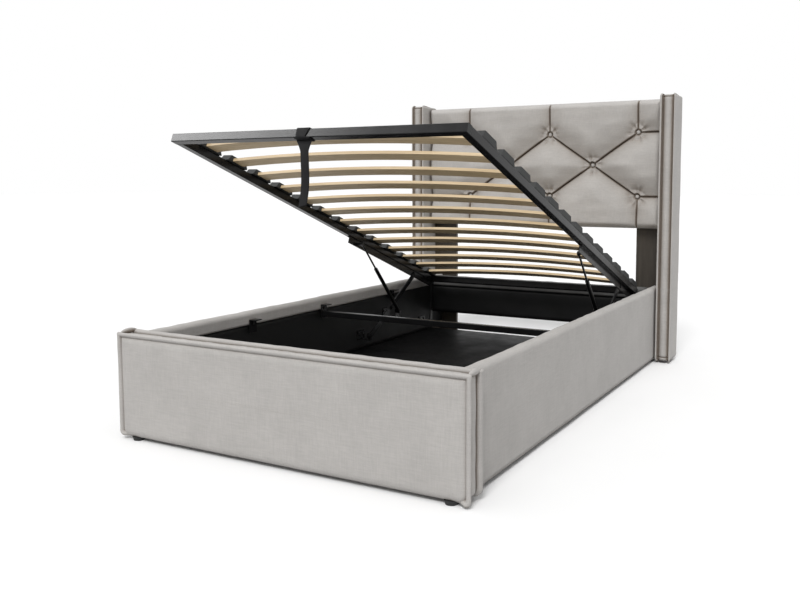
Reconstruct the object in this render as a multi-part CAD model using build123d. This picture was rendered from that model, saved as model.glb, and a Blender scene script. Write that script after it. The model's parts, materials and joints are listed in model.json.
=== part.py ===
from build123d import *
import os
from math import cos, sin, radians, hypot

# Ottoman storage bed, drawn with its slatted platform lifted at the foot end.
# X runs across the bed, Y runs from the foot to the head, Z is up.
# The origin is on the floor, under the middle of the bed.

# Overall sizes
bed_length = 2280.0
headboard_top = 1333.0
footboard_top = 380.0
base_width = 1316.0
seat_gap = 0.3
cut_overrun = 6.0

# Footboard
footboard_overhang = 34.0
footboard_thickness = 90.0
footboard_floor_gap = 13.0
front_welt_thickness = 18.0
rear_welt_thickness = 26.0
welt_proud = 13.0
welt_inner_reach = 4.0
welt_edge_radius = 5.0
footboard_corner_radius = 38.0
front_corner_radius = 10.0
footboard_cover_thickness = 4.0
footboard_pad_depth = 16.0
footboard_pad_recess = 2.0
footboard_pad_drafts = [22.0, 55.0, 76.0]
footboard_pad_rise_shares = [0.55, 0.28, 0.17]

# Padded side rails and head rail
rail_top = 376.0
rail_floor_gap = 19.0
rail_thickness = 45.0
rail_core_thickness = 20.0
rail_outer_padding = 13.0
rail_top_padding = 16.0
rail_wrap_depth = 54.0
rail_roll_radius = 18.0
lining_thickness = 3.0
head_rail_inset = 151.0
head_rail_bottom = 169.0

# Storage floor
floor_top = 72.0
floor_panel_thickness = 10.0
floor_panel_count = 3
floor_joint_gap = 1.0
floor_rear_reach = 10.0
cleat_width = 20.0
cleat_height = 20.0
bearer_width = 60.0
bearer_height = 22.0
bearer_foot_radius = 20.0

# Feet
glide_radius = 23.0
glide_base_radius = 19.0
glide_stem_radius = 6.0
glide_inset = 70.0
glide_setback = 25.0
leg_glide_height = 8.0

# Headboard
panel_height = 654.0
panel_bottom = 668.0
panel_slab_thickness = 14.0
pillow_rises = [24.0, 12.0, 7.0, 3.0]
pillow_drafts = [17.0, 48.0, 70.0, 80.0]
back_board_thickness = 12.0
leg_width = 140.0
leg_thickness = 18.0
dust_cover_thickness = 1.5
tuft_pitch_share = 0.716
tuft_shift = 58.0
tuft_row_share = 0.25
button_radius = 13.0
button_height = 9.0
button_dome_radius = 6.0
button_pocket_radius = 17.0
button_pocket_flare = 24.0

# Head wings
wing_rail_gap = 8.5
wing_width = 75.0
wing_depth = 158.0
wing_floor_gap = 13.0
wing_welt_radius = 5.5
wing_front_step = 8.0
wing_roll_height = 7.0
wing_core_width = 40.0
wing_core_depth = 126.0
wing_core_bottom = 20.0
wing_top_padding = 14.0
wing_side_radius = 6.0
wing_split_height = 372.0
wing_lower_inset = 2.5

# Slatted platform, measured along its length from the head end
platform_side_gap = 23.0
platform_length = 2010.0
tube_size = 30.0
tube_wall = 1.5
tube_edge_radius = 2.5
tube_plug_length = 12.0
tube_plug_clearance = 0.15
open_angle = 20.4
platform_open_inset = 207.0
platform_open_top = 375.0
platform_closed_inset = 167.0
platform_closed_top = 374.0
slat_count = 13
slat_pitch = 148.0
first_slat = 78.0
slat_width = 58.0
slat_thickness = 11.0
slat_bow = 20.0
slat_edge_radius = 2.0
slat_end_clearance = 10.0
slat_lift = 4.0
cap_length = 112.0
cap_crest = 84.0
cap_height = 24.0
cap_mouth = 42.0
cap_slat_clearance = 0.4

# Lift linkage, across the bed
upper_web_inset = 24.0
plate_thickness = 4.0
link_thickness = 6.0
link_side_gap = 0.3
strut_inset = 49.0
flange_width = 13.0
upper_bracket_length = 870.0
upper_web_depth = 32.0

# Lift linkage, along the platform and below its top
pivot_drop = 46.0
rear_pivot = 22.0
arm_pivot = 231.0
strut_pivot = 793.0

# Lift linkage, on the base
rear_base_z = 132.0
arm_base_z = 147.0
strut_base_inset = 635.0
strut_base_z = 238.0
pin_radius = 5.0
pin_clearance = 0.05
pin_head_radius = 8.0
pin_head_lip = 3.0
pin_head_thickness = 3.4
rear_link_width = 22.0
arm_width = 25.0
base_plate_width = 60.0
base_plate_height = 46.0
pivot_plate_width = 36.0
pivot_plate_rise = 14.0
pivot_plate_drop = 22.0
strut_plate_drop = 32.0
strut_eye_radius = 9.0
strut_eye_thickness = 10.0
strut_shoulder_radius = 7.0
strut_pin_radius = 4.0
strut_plate_gap = 1.0
cylinder_radius = 9.0
cylinder_length = 325.0
cylinder_neck_length = 14.0
cylinder_neck_radius = 4.6
rod_radius = 4.5
rod_bore_clearance = 0.06
rod_hidden_length = 120.0

# Cross bar and the brackets that the closed platform rests on
cross_bar_size = 25.0
cross_bar_wall = 1.5
cross_bar_from_foot = 1095.0
cross_bar_bottom = 288.0
rest_places = [612.0, cross_bar_from_foot, 1690.0]
rest_plate_length = 40.0
rest_plate_drop = 54.0
rest_shelf_reach = 10.0
bolt_head_radius = 6.0
bolt_head_thickness = 4.0
bolt_spacing = 36.0
bolt_row = 14.0
rest_bolt_drop = 17.0

# Pull strap on the foot tube
strap_width = 42.0
strap_thickness = 3.0
strap_x = -8.0
strap_drop = 215.0
strap_loop_gap = 0.3
strap_hinge_gap = 1.2

# Places worked out from the sizes above
foot_y = -bed_length / 2
head_y = bed_length / 2
footboard_back_y = foot_y + footboard_thickness
rail_outer_x = base_width / 2
rail_core_outer_x = rail_outer_x - rail_outer_padding
rail_core_inner_x = rail_core_outer_x - rail_core_thickness
lining_x = rail_core_inner_x - lining_thickness
roll_inner_x = rail_outer_x - rail_thickness
rail_end_y = head_y - leg_thickness
head_rail_y = head_y - head_rail_inset
footboard_width = base_width + 2 * footboard_overhang
wing_inner_x = rail_outer_x + wing_rail_gap
wing_front_y = head_y - wing_depth
back_board_y = head_y - leg_thickness - back_board_thickness
panel_slab_y = back_board_y - panel_slab_thickness
panel_half_width = wing_inner_x - seat_gap
tuft_pitch = panel_half_width * tuft_pitch_share
platform_width = 2 * (roll_inner_x - platform_side_gap)
upper_web_x = platform_width / 2 - upper_web_inset
strut_x = platform_width / 2 - strut_inset
tube_inner_x = platform_width / 2 - tube_size
link_outer_x = upper_web_x - link_side_gap
link_inner_x = link_outer_x - link_thickness


def block(x0, x1, y0, y1, z0, z1):
    """Box between two opposite corners."""
    body = Box(abs(x1 - x0), abs(y1 - y0), abs(z1 - z0))
    return Pos((x0 + x1) / 2, (y0 + y1) / 2, (z0 + z1) / 2) * body


def rod_along_x(x0, x1, y, z, radius):
    """Round bar that runs across the bed."""
    body = Rot(0, 90, 0) * Cylinder(radius, abs(x1 - x0))
    return Pos((x0 + x1) / 2, y, z) * body


def upright_plane(y):
    """Plane that faces the foot of the bed, with X across and Z up."""
    return Plane(origin=(0, y, 0), x_dir=(1, 0, 0), z_dir=(0, -1, 0))


def both_sides(shape):
    """The shape and its mirror image on the other side of the bed."""
    return [shape, mirror(shape, about=Plane.YZ)]


def padded_cell(corners, y, levels):
    """Pillow raised towards the foot from a flat outline, level by level."""
    outline = upright_plane(y) * make_face(Polyline(*corners, close=True))
    pillow = None
    for rise, draft in levels:
        step = extrude(outline, amount=rise, taper=draft)
        pillow = step if pillow is None else pillow + step
        outline = step.faces().sort_by(Axis.Y)[0]
    return pillow


def solids_of(shapes):
    """One flat list of the solids in a list of shapes."""
    return [solid for shape in shapes for solid in shape.solids()]


def on_platform(along, below):
    """Place on the lifted platform, from its head end and under its top."""
    tilt = radians(open_angle)
    y = head_y - platform_open_inset - along * cos(tilt) - below * sin(tilt)
    z = platform_open_top + along * sin(tilt) - below * cos(tilt)
    return y, z


def closed_place(along, below):
    """The same place with the platform closed."""
    return head_y - platform_closed_inset - along, platform_closed_top - below


def base_pivot_y(along, base_z):
    """Y of a fixed pivot as far from the open place as from the closed one."""
    open_y, open_z = on_platform(along, pivot_drop)
    shut_y, shut_z = closed_place(along, pivot_drop)
    rise = (shut_z - base_z) ** 2 - (open_z - base_z) ** 2
    return (shut_y ** 2 - open_y ** 2 + rise) / (2 * (shut_y - open_y))


rear_open = on_platform(rear_pivot, pivot_drop)
arm_open = on_platform(arm_pivot, pivot_drop)
strut_open = on_platform(strut_pivot, pivot_drop)
rear_base = (base_pivot_y(rear_pivot, rear_base_z), rear_base_z)
arm_base = (base_pivot_y(arm_pivot, arm_base_z), arm_base_z)
strut_base = (head_y - strut_base_inset, strut_base_z)


# Footboard

def footboard_outline(inset, corner_radius):
    """Outline of the footboard seen from the foot, with round lower corners."""
    half = footboard_width / 2 - inset
    low = footboard_floor_gap + inset
    high = footboard_top - inset
    face = Pos(0, (low + high) / 2) * Rectangle(2 * half, high - low)
    lower = face.vertices().sort_by(Axis.Y)[:2]
    return fillet(lower, corner_radius)


def footboard_slab(inset, y0, y1, corner_radius=footboard_corner_radius):
    """Slab of the footboard's outline between two planes."""
    radius = corner_radius - inset / 2
    outline = upright_plane(y1) * footboard_outline(inset, radius)
    return extrude(outline, amount=y1 - y0)


def make_footboard():
    front_y = foot_y
    core_front = foot_y + footboard_pad_depth + footboard_pad_recess
    core_back = footboard_back_y - footboard_cover_thickness
    core_inset = welt_proud + footboard_cover_thickness
    core = footboard_slab(core_inset, core_front, core_back)
    front_welt = footboard_slab(0, front_y, front_y + front_welt_thickness, front_corner_radius)
    inner_inset = welt_proud + welt_inner_reach
    opening = footboard_slab(inner_inset, front_y - cut_overrun, core_front + cut_overrun,
                             front_corner_radius)
    front_welt = front_welt - opening
    rim = front_welt.edges().group_by(Axis.Y)[0]
    front_welt = fillet(rim, welt_edge_radius)
    cover_front = front_y + front_welt_thickness + seat_gap
    rear_front = footboard_back_y - rear_welt_thickness
    rear_welt = footboard_slab(0, rear_front, footboard_back_y)
    rear_welt = rear_welt - footboard_slab(welt_proud, rear_front - cut_overrun, footboard_back_y + cut_overrun)
    cover = footboard_slab(welt_proud + seat_gap, cover_front, footboard_back_y)
    hollow = footboard_slab(core_inset, cover_front - cut_overrun, core_back + seat_gap)
    cover = cover - hollow
    half = footboard_width / 2 - inner_inset - seat_gap
    low = footboard_floor_gap + inner_inset + seat_gap
    high = footboard_top - inner_inset - seat_gap
    corners = [(-half, low), (half, low), (half, high), (-half, high)]
    rises = [footboard_pad_depth * share for share in footboard_pad_rise_shares]
    pad_levels = list(zip(rises, footboard_pad_drafts))
    pad = padded_cell(corners, core_front - seat_gap, pad_levels)
    pad = pad & footboard_slab(inner_inset + seat_gap, front_y, core_front, front_corner_radius)
    return {
        "footboard_core": core,
        "footboard_front_pad": pad,
        "footboard_front_welt": front_welt,
        "footboard_rear_welt": rear_welt,
        "footboard_cover": cover,
    }


# Padded rails

def rail_profile_sketch():
    """Section of a rail cover: outside at X zero, inside towards minus X."""
    tall = rail_top - rail_floor_gap
    body = Pos(-rail_thickness / 2, rail_floor_gap + tall / 2) * Rectangle(rail_thickness, tall)
    top = body.vertices().sort_by(Axis.Y)[-2:]
    body = fillet(top, rail_roll_radius)
    core_high = rail_top - rail_top_padding + seat_gap
    core_far = -rail_outer_padding - rail_core_thickness - seat_gap
    core_near = -rail_outer_padding + seat_gap
    core_hole = Pos((core_far + core_near) / 2, core_high / 2) * Rectangle(core_near - core_far, core_high)
    wrap_low = rail_top - rail_wrap_depth
    inside = Pos(-rail_thickness, wrap_low / 2) * Rectangle(2 * (rail_thickness + core_far), wrap_low)
    return body - core_hole - inside


def make_side_rails():
    start = footboard_back_y + seat_gap
    end = rail_end_y - seat_gap
    section = Plane(origin=(rail_outer_x, end, 0), x_dir=(1, 0, 0), z_dir=(0, -1, 0))
    cover = extrude(section * rail_profile_sketch(), amount=end - start)
    core_top = rail_top - rail_top_padding
    core = block(rail_core_inner_x, rail_core_outer_x, start, end, rail_floor_gap, core_top)
    return {
        "right_side_rail_core": core,
        "left_side_rail_core": mirror(core, about=Plane.YZ),
        "right_side_rail_cover": cover,
        "left_side_rail_cover": mirror(cover, about=Plane.YZ),
    }


def make_head_rail():
    half = lining_x - seat_gap
    front = head_rail_y
    section = Plane(origin=(-half, front + rail_thickness, 0), x_dir=(0, 1, 0), z_dir=(1, 0, 0))
    cover = extrude(section * rail_profile_sketch(), amount=2 * half)
    low = block(-base_width, base_width, front - cut_overrun, head_y, 0, head_rail_bottom)
    roll_half = rail_outer_x - rail_thickness - seat_gap
    wrap_low = rail_top - rail_wrap_depth
    keep = block(-roll_half, roll_half, front - cut_overrun, head_y, wrap_low - seat_gap, footboard_top)
    keep = keep + block(-half, half, front - cut_overrun, head_y, head_rail_bottom, wrap_low - seat_gap)
    cover = (cover - low) & keep
    core_back = front + rail_thickness - rail_outer_padding
    core = block(-roll_half, roll_half, core_back - rail_core_thickness, core_back,
                 head_rail_bottom, rail_top - rail_top_padding)
    return {"head_rail_core": core, "head_rail_cover": cover}


def make_linings():
    low = floor_top + seat_gap
    high = rail_top - rail_wrap_depth - seat_gap
    start = footboard_back_y + seat_gap
    end = rail_end_y - seat_gap
    side = block(lining_x, rail_core_inner_x - seat_gap, start, end, low, high)
    half = lining_x - seat_gap
    head_back = head_rail_y + rail_thickness - rail_outer_padding - rail_core_thickness - seat_gap
    head = block(-half, half, head_back - lining_thickness, head_back, head_rail_bottom, high)
    foot = block(-half, half, start, start + lining_thickness, low, high)
    return {"storage_linings": both_sides(side) + [head, foot]}


# Storage floor

def make_floor():
    start = footboard_back_y + seat_gap
    end = head_rail_y + floor_rear_reach
    half = rail_core_inner_x - seat_gap
    pitch = (end - start) / floor_panel_count
    low = floor_top - floor_panel_thickness
    nodes = {}
    for index in range(floor_panel_count):
        near = start + index * pitch
        far = near + pitch - floor_joint_gap
        nodes["floor_panel_%d" % (index + 1)] = block(-half, half, near, far, low, floor_top)
    cleat = block(half - cleat_width, half, start, end, low - cleat_height, low)
    nodes["floor_cleats"] = both_sides(cleat)
    bearers = []
    for index in range(1, floor_panel_count):
        middle = start + index * pitch
        reach = half - cleat_width - seat_gap
        bearers.append(block(-reach, reach, middle - bearer_width / 2, middle + bearer_width / 2,
                             low - bearer_height, low))
    nodes["floor_bearers"] = bearers
    tall = low - bearer_height
    bearer_glide = Pos(0, start, tall / 2) * Cylinder(bearer_foot_radius, tall)
    places = range(1, floor_panel_count)
    glides = [Pos(0, index * pitch, 0) * bearer_glide for index in places]
    glide_high = footboard_floor_gap + welt_proud
    for side in (-1, 1):
        x = side * (footboard_width / 2 - glide_inset)
        glide = Cone(glide_base_radius, glide_radius, footboard_floor_gap)
        glide = Pos(x, foot_y + glide_setback, footboard_floor_gap / 2) * glide
        stem_tall = glide_high - footboard_floor_gap
        stem = Pos(x, foot_y + glide_setback, footboard_floor_gap + stem_tall / 2)
        glide = glide + stem * Cylinder(glide_stem_radius, stem_tall)
        glides.append(glide)
        leg_x = side * (wing_inner_x - seat_gap - leg_width / 2)
        leg_glide = Box(leg_width, leg_thickness, leg_glide_height)
        glides.append(Pos(leg_x, head_y - leg_thickness / 2, leg_glide_height / 2) * leg_glide)
    nodes["floor_glides"] = glides
    return nodes


# Headboard

def tuft_rows():
    """Heights of the three rows of buttons."""
    return [panel_bottom + panel_height * tuft_row_share * row for row in (1, 2, 3)]


def tuft_places():
    """Places of the buttons across and up the panel."""
    low, middle, high = tuft_rows()
    centre = tuft_shift
    outer = [(centre + side * tuft_pitch, z) for z in (low, high) for side in (-1, 0, 1)]
    inner = [(centre + side * tuft_pitch / 2, middle) for side in (-1, 1)]
    return outer + inner


def tuft_cells():
    """Outlines of the pillows between the pleats."""
    low, middle, high = tuft_rows()
    top = panel_bottom + panel_height
    columns = [tuft_shift + side * tuft_pitch for side in (-1, 0, 1)]
    knots = [tuft_shift - tuft_pitch / 2, tuft_shift + tuft_pitch / 2]
    cells = [[(columns[1], low), (knots[1], middle), (columns[1], high), (knots[0], middle)]]
    for index in (0, 1):
        left, right = columns[index], columns[index + 1]
        cells.append([(left, panel_bottom), (right, panel_bottom), (right, low),
                      (knots[index], middle), (left, low)])
        cells.append([(left, high), (knots[index], middle), (right, high), (right, top), (left, top)])
    for edge, column, knot in ((-panel_half_width, columns[0], knots[0]),
                               (panel_half_width, columns[2], knots[1])):
        cells.append([(edge, panel_bottom), (column, panel_bottom), (column, low), (edge, low)])
        cells.append([(edge, high), (column, high), (column, top), (edge, top)])
        cells.append([(edge, low), (column, low), (knot, middle), (column, high), (edge, high)])
    return cells


def make_headboard():
    top = panel_bottom + panel_height
    pad = block(-panel_half_width, panel_half_width, panel_slab_y, back_board_y - seat_gap,
                panel_bottom, top)
    for corners in tuft_cells():
        pad = pad + padded_cell(corners, panel_slab_y, list(zip(pillow_rises, pillow_drafts)))
    crown = sum(pillow_rises)
    buttons = []
    for x, z in tuft_places():
        flare = Cone(button_pocket_radius, button_pocket_radius + button_pocket_flare, crown)
        pad = pad - Pos(x, panel_slab_y - crown / 2, z) * (Rot(90, 0, 0) * flare)
        button = Cylinder(button_radius, button_height)
        button = fillet(button.edges().sort_by(Axis.Z)[-1], button_dome_radius)
        place = Pos(x, panel_slab_y - seat_gap - button_height / 2, z)
        buttons.append(place * (Rot(90, 0, 0) * button))
    board = block(-panel_half_width, panel_half_width, back_board_y, back_board_y + back_board_thickness,
                  panel_bottom, top)
    outer = wing_inner_x - seat_gap
    leg = block(outer - leg_width, outer, head_y - leg_thickness, head_y, leg_glide_height, top)
    inner = outer - leg_width - seat_gap
    dust_y = back_board_y + back_board_thickness + seat_gap
    dust = block(-inner, inner, dust_y, dust_y + dust_cover_thickness, panel_bottom, top)
    return {
        "tufted_headboard_pad": pad,
        "tuft_buttons": buttons,
        "headboard_back_board": board,
        "headboard_legs": both_sides(leg),
        "headboard_dust_cover": dust,
    }


def make_wings():
    centre_x = wing_inner_x + wing_width / 2
    core_y = wing_front_y + wing_depth - (wing_depth - wing_core_depth) / 2
    core = block(centre_x - wing_core_width / 2, centre_x + wing_core_width / 2,
                 core_y - wing_core_depth, core_y, wing_core_bottom, headboard_top - wing_top_padding)
    hollow = block(centre_x - wing_core_width / 2 - seat_gap, centre_x + wing_core_width / 2 + seat_gap,
                   core_y - wing_core_depth - seat_gap, core_y + seat_gap,
                   wing_core_bottom - cut_overrun, headboard_top - wing_top_padding + seat_gap)
    outer_x = wing_inner_x + wing_width
    shelf_y = wing_front_y + wing_front_step
    low = wing_split_height + seat_gap
    upper = block(wing_inner_x, outer_x, shelf_y, head_y, low, headboard_top)
    rear_edges = upper.edges().filter_by(Axis.Z).sort_by(Axis.Y)[-2:]
    upper = fillet(rear_edges, wing_side_radius)
    tall = headboard_top - low
    welt_y = wing_front_y + wing_welt_radius
    for x in (wing_inner_x + wing_welt_radius, outer_x - wing_welt_radius):
        welt = Pos(x, welt_y, low + tall / 2) * Cylinder(wing_welt_radius, tall)
        upper = upper + welt
    reach = wing_width / 2 - 2 * wing_welt_radius
    roll_arc = ThreePointArc((centre_x - reach, shelf_y), (centre_x, shelf_y - wing_roll_height),
                             (centre_x + reach, shelf_y))
    roll = make_face(roll_arc + Line((centre_x + reach, shelf_y), (centre_x - reach, shelf_y)))
    upper = upper + extrude(Pos(0, 0, low) * roll, amount=tall, dir=(0, 0, 1))
    lower = block(wing_inner_x, outer_x - wing_lower_inset, wing_front_y + wing_lower_inset, head_y,
                  wing_floor_gap, wing_split_height)
    lower = fillet(lower.edges().filter_by(Axis.Z), wing_welt_radius - wing_lower_inset)
    return {
        "wing_cores": both_sides(core),
        "right_wing_upper_cover": upper - hollow,
        "left_wing_upper_cover": mirror(upper - hollow, about=Plane.YZ),
        "wing_lower_covers": both_sides(lower - hollow),
    }


# Slatted platform, drawn flat with its head end at Y zero and its top at Z zero

def platform_place():
    """Where the flat platform goes when it is lifted."""
    return Location((0, head_y - platform_open_inset, platform_open_top), (-open_angle, 0, 0))


def hollow_tube(length, size, wall, edge_radius):
    """Square tube along X, centred on the origin."""
    tube = Box(length, size, size)
    tube = fillet(tube.edges().filter_by(Axis.X), edge_radius)
    return tube - Box(length + cut_overrun, size - 2 * wall, size - 2 * wall)


def make_slat(along):
    half = tube_inner_x + tube_size - slat_end_clearance
    bend = platform_width / 2 - cap_mouth - cap_slat_clearance
    low = slat_lift
    high = slat_lift + slat_thickness
    under = ThreePointArc((-bend, low), (0, low + slat_bow), (bend, low))
    over = ThreePointArc((bend, high), (0, high + slat_bow), (-bend, high))
    right = Polyline((bend, low), (half, low), (half, high), (bend, high))
    left = Polyline((-bend, high), (-half, high), (-half, low), (-bend, low))
    face = make_face(under + right + over + left)
    slat = extrude(upright_plane(-along + slat_width / 2) * face, amount=slat_width)
    ends = slat.edges().filter_by(Axis.Z)
    return fillet(ends, slat_edge_radius)


def make_cap(along):
    """Rubber cap that holds a slat's end on top of a side tube."""
    inner = platform_width / 2 - cap_mouth
    outer = platform_width / 2
    foot = cap_length / 2
    crest = cap_crest / 2
    hump = Polyline((-foot, seat_gap), (foot, seat_gap), (crest, cap_height), (-crest, cap_height),
                    close=True)
    section = Plane(origin=(inner, -along, 0), x_dir=(0, 1, 0), z_dir=(1, 0, 0))
    cap = extrude(section * make_face(hump), amount=outer - inner)
    slot_half = slat_width / 2 + cap_slat_clearance
    end = tube_inner_x + tube_size - slat_end_clearance + cap_slat_clearance
    slot = block(inner - cut_overrun, end, -along - slot_half, -along + slot_half,
                 slat_lift - cap_slat_clearance, slat_lift + slat_thickness + cap_slat_clearance)
    return cap - slot


def make_upper_bracket():
    """Folded steel angle under a side tube, with its three studs."""
    tube_bottom = -tube_size
    web = block(upper_web_x, upper_web_x + plate_thickness, -upper_bracket_length, 0,
                tube_bottom - upper_web_depth, tube_bottom)
    flange = block(upper_web_x, upper_web_x + flange_width, -upper_bracket_length, 0,
                   tube_bottom - plate_thickness, tube_bottom)
    bracket = web + flange
    pin_end = link_inner_x - link_side_gap
    bracket = bracket + rod_along_x(pin_end, upper_web_x, -rear_pivot, -pivot_drop, pin_radius)
    bracket = bracket + rod_along_x(pin_end - pin_head_thickness, pin_end, -rear_pivot, -pivot_drop,
                                    pin_head_radius)
    rivet = upper_web_x + plate_thickness
    bracket = bracket + rod_along_x(rivet, rivet + pin_head_thickness, -arm_pivot, -pivot_drop,
                                    pin_head_radius)
    stud_end = strut_x + strut_eye_thickness / 2 + seat_gap
    return bracket + rod_along_x(stud_end, upper_web_x, -strut_pivot, -pivot_drop, strut_shoulder_radius)


def make_platform():
    place = platform_place()
    side_length = platform_length - tube_size
    side = Rot(0, 0, 90) * hollow_tube(side_length, tube_size, tube_wall, tube_edge_radius)
    side = Pos(platform_width / 2 - tube_size / 2, -side_length / 2, -tube_size / 2) * side
    foot = hollow_tube(platform_width, tube_size, tube_wall, tube_edge_radius)
    foot = Pos(0, -platform_length + tube_size / 2, -tube_size / 2) * foot
    plug_size = tube_size - 2 * tube_wall - 2 * tube_plug_clearance
    plug = Box(tube_plug_length, plug_size, plug_size)
    plug = Pos((platform_width - tube_plug_length) / 2, -platform_length + tube_size / 2,
               -tube_size / 2) * plug
    head = hollow_tube(2 * tube_inner_x, tube_size, tube_wall, tube_edge_radius)
    head = Pos(0, -tube_size / 2, -tube_size / 2) * head
    places = [first_slat + index * slat_pitch for index in range(slat_count)]
    caps = [make_cap(along) for along in places]
    bracket = make_upper_bracket()
    nodes = {
        "right_frame_tube": side,
        "left_frame_tube": mirror(side, about=Plane.YZ),
        "foot_tube": foot,
        "foot_tube_plugs": both_sides(plug),
        "head_tube": head,
        "right_slat_caps": caps,
        "left_slat_caps": [mirror(cap, about=Plane.YZ) for cap in caps],
        "right_upper_bracket": bracket,
        "left_upper_bracket": mirror(bracket, about=Plane.YZ),
    }
    for index, along in enumerate(places):
        nodes["slat_%02d" % (index + 1)] = make_slat(along)
    placed = {}
    for name, shape in nodes.items():
        shapes = shape if isinstance(shape, list) else [shape]
        placed[name] = [place * one for one in shapes]
    return placed


# Lift linkage

def flat_link(start, end, width):
    """Flat bar with round ends and a hole at each pivot, seen from the side."""
    centre = ((start[0] + end[0]) / 2, (start[1] + end[1]) / 2)
    length = hypot(end[0] - start[0], end[1] - start[1])
    plane = Plane(origin=(link_inner_x, centre[0], centre[1]),
                  x_dir=(0, end[0] - start[0], end[1] - start[1]), z_dir=(1, 0, 0))
    return extrude(plane * SlotOverall(length + width, width), amount=link_thickness)


def make_rear_links():
    link = flat_link(rear_base, rear_open, rear_link_width)
    for y, z in (rear_base, rear_open):
        link = link - rod_along_x(link_inner_x - cut_overrun, link_outer_x + cut_overrun, y, z,
                                  pin_radius + pin_clearance)
    return {"rear_links": both_sides(link)}


def make_lift_arms():
    arm = flat_link(arm_base, arm_open, arm_width)
    arm = arm - rod_along_x(link_inner_x - cut_overrun, link_outer_x + cut_overrun, arm_base[0],
                            arm_base[1], pin_radius + pin_clearance)
    arm = arm + rod_along_x(link_inner_x - pin_head_thickness, link_inner_x, arm_open[0], arm_open[1],
                            pin_head_radius)
    return {"lift_arms": both_sides(arm)}


def base_bracket(pivot, drop, plate_x, stud_end, stud_radius, shoulder):
    """Folded bracket from the rail lining to a pivot, with its pin."""
    y, z = pivot
    wall = lining_x - seat_gap
    foot = block(wall - plate_thickness, wall, y - base_plate_width / 2, y + base_plate_width / 2,
                 z - drop, z - drop + base_plate_height)
    shelf = block(plate_x, wall, y - pivot_plate_width / 2, y + pivot_plate_width / 2,
                  z - drop, z - drop + plate_thickness)
    plate = block(plate_x, plate_x + plate_thickness, y - pivot_plate_width / 2,
                  y + pivot_plate_width / 2, z - drop, z + pivot_plate_rise)
    pin = rod_along_x(stud_end, plate_x, y, z, stud_radius)
    head = rod_along_x(stud_end - pin_head_thickness, stud_end, y, z, stud_radius + pin_head_lip)
    bracket = foot + shelf + plate + pin + head
    if shoulder:
        bracket = bracket + rod_along_x(shoulder, plate_x, y, z, strut_shoulder_radius)
    return bracket


def make_base_brackets():
    pin_end = link_inner_x - link_side_gap
    eye_far = strut_x - strut_eye_thickness / 2 - link_side_gap
    eye_near = strut_x + strut_eye_thickness / 2 + link_side_gap
    strut_plate_x = strut_x + cylinder_radius + strut_plate_gap
    brackets = [
        base_bracket(rear_base, pivot_plate_drop, upper_web_x, pin_end, pin_radius, None),
        base_bracket(arm_base, pivot_plate_drop, upper_web_x, pin_end, pin_radius, None),
        base_bracket(strut_base, strut_plate_drop, strut_plate_x, eye_far, strut_pin_radius,
                     eye_near),
    ]
    return {
        "right_base_brackets": brackets,
        "left_base_brackets": [mirror(bracket, about=Plane.YZ) for bracket in brackets],
    }


def strut_plane():
    """Plane at the strut's lower pivot whose Z runs up the strut."""
    rise = (0, strut_open[0] - strut_base[0], strut_open[1] - strut_base[1])
    return Plane(origin=(strut_x, strut_base[0], strut_base[1]), x_dir=(1, 0, 0), z_dir=rise)


def strut_eye(height):
    """Round eye of the strut, across its axis."""
    return Pos(0, 0, height) * (Rot(0, 90, 0) * Cylinder(strut_eye_radius, strut_eye_thickness))


def make_struts():
    length = hypot(strut_open[0] - strut_base[0], strut_open[1] - strut_base[1])
    place = strut_plane().location
    neck = Pos(0, 0, cylinder_neck_length / 2 + strut_eye_radius / 2)
    lower = strut_eye(0) + neck * Cylinder(cylinder_neck_radius, cylinder_neck_length + strut_eye_radius)
    barrel_low = strut_eye_radius + cylinder_neck_length / 2
    barrel = Cylinder(cylinder_radius, cylinder_length - barrel_low)
    lower = lower + Pos(0, 0, (cylinder_length + barrel_low) / 2) * barrel
    bore_low = barrel_low + cylinder_neck_length
    bore = Cylinder(rod_radius + rod_bore_clearance, cylinder_length - bore_low + cut_overrun)
    lower = lower - Pos(0, 0, (cylinder_length + bore_low + cut_overrun) / 2) * bore
    hole = Rot(0, 90, 0) * Cylinder(strut_pin_radius + pin_clearance, 2 * strut_eye_thickness)
    lower = lower - hole
    rod_low = cylinder_length - rod_hidden_length
    rod = Pos(0, 0, (rod_low + length) / 2) * Cylinder(rod_radius, length - rod_low)
    rod = rod + strut_eye(length)
    return {
        "strut_cylinders": both_sides(place * lower),
        "strut_rods": both_sides(place * rod),
    }


# Cross bar, rest brackets and bolts

def rest_bracket(from_foot, drop):
    """Angle on the lining whose shelf carries the closed platform's side tube."""
    y = foot_y + from_foot
    top = platform_closed_top - tube_size - seat_gap
    wall = roll_inner_x - seat_gap
    plate = block(wall - plate_thickness, wall, y - rest_plate_length / 2, y + rest_plate_length / 2,
                  top - drop, top)
    shelf = block(platform_width / 2 - rest_shelf_reach, wall, y - rest_plate_length / 2,
                  y + rest_plate_length / 2, top - plate_thickness, top)
    return plate + shelf


def make_cross_bar():
    y = foot_y + cross_bar_from_foot
    reach = roll_inner_x - seat_gap - plate_thickness - seat_gap
    bar = hollow_tube(2 * reach, cross_bar_size, cross_bar_wall, tube_edge_radius)
    bar = Pos(0, y, cross_bar_bottom + cross_bar_size / 2) * bar
    top = platform_closed_top - tube_size - seat_gap
    brackets = []
    for from_foot in rest_places:
        deep = from_foot == cross_bar_from_foot
        drop = top - cross_bar_bottom + 2 * plate_thickness if deep else rest_plate_drop
        bracket = rest_bracket(from_foot, drop)
        if deep:
            high = cross_bar_bottom - seat_gap
            bracket = bracket + block(platform_width / 2, roll_inner_x - seat_gap,
                                      y - rest_plate_length / 2, y + rest_plate_length / 2,
                                      high - plate_thickness, high)
        brackets.extend(both_sides(bracket))
    return {"cross_bar": bar, "rest_brackets": brackets}


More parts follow.
